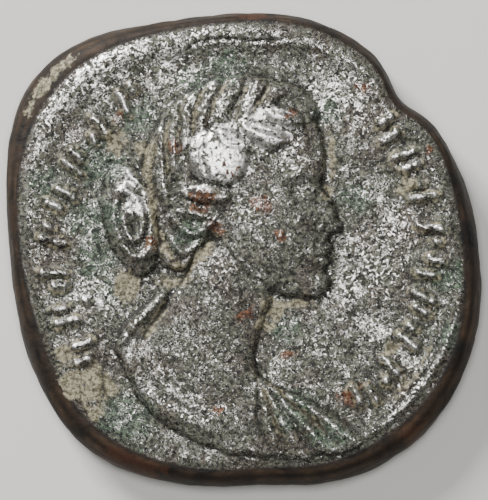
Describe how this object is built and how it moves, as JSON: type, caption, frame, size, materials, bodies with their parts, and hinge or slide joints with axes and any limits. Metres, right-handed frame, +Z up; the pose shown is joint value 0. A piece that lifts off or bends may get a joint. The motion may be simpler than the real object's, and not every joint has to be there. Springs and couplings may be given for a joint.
{
  "type": "roman bronze coin",
  "caption": "Thick, squarish bronze coin lying face up: a woman's draped bust to the right in relief, worn legend strokes round it and a dark patina.",
  "frame": {"origin": "on the table under the middle of the coin's outline", "axes": "+Z up out of the bust side, +Y to the top of the bust's head, +X the way the bust looks"},
  "size_m": [0.0306, 0.0304, 0.0046],
  "materials": {
    "bronze": "satin"
  },
  "bodies": {
    "root": {"coin": "bronze"}
  },
  "joints": []
}
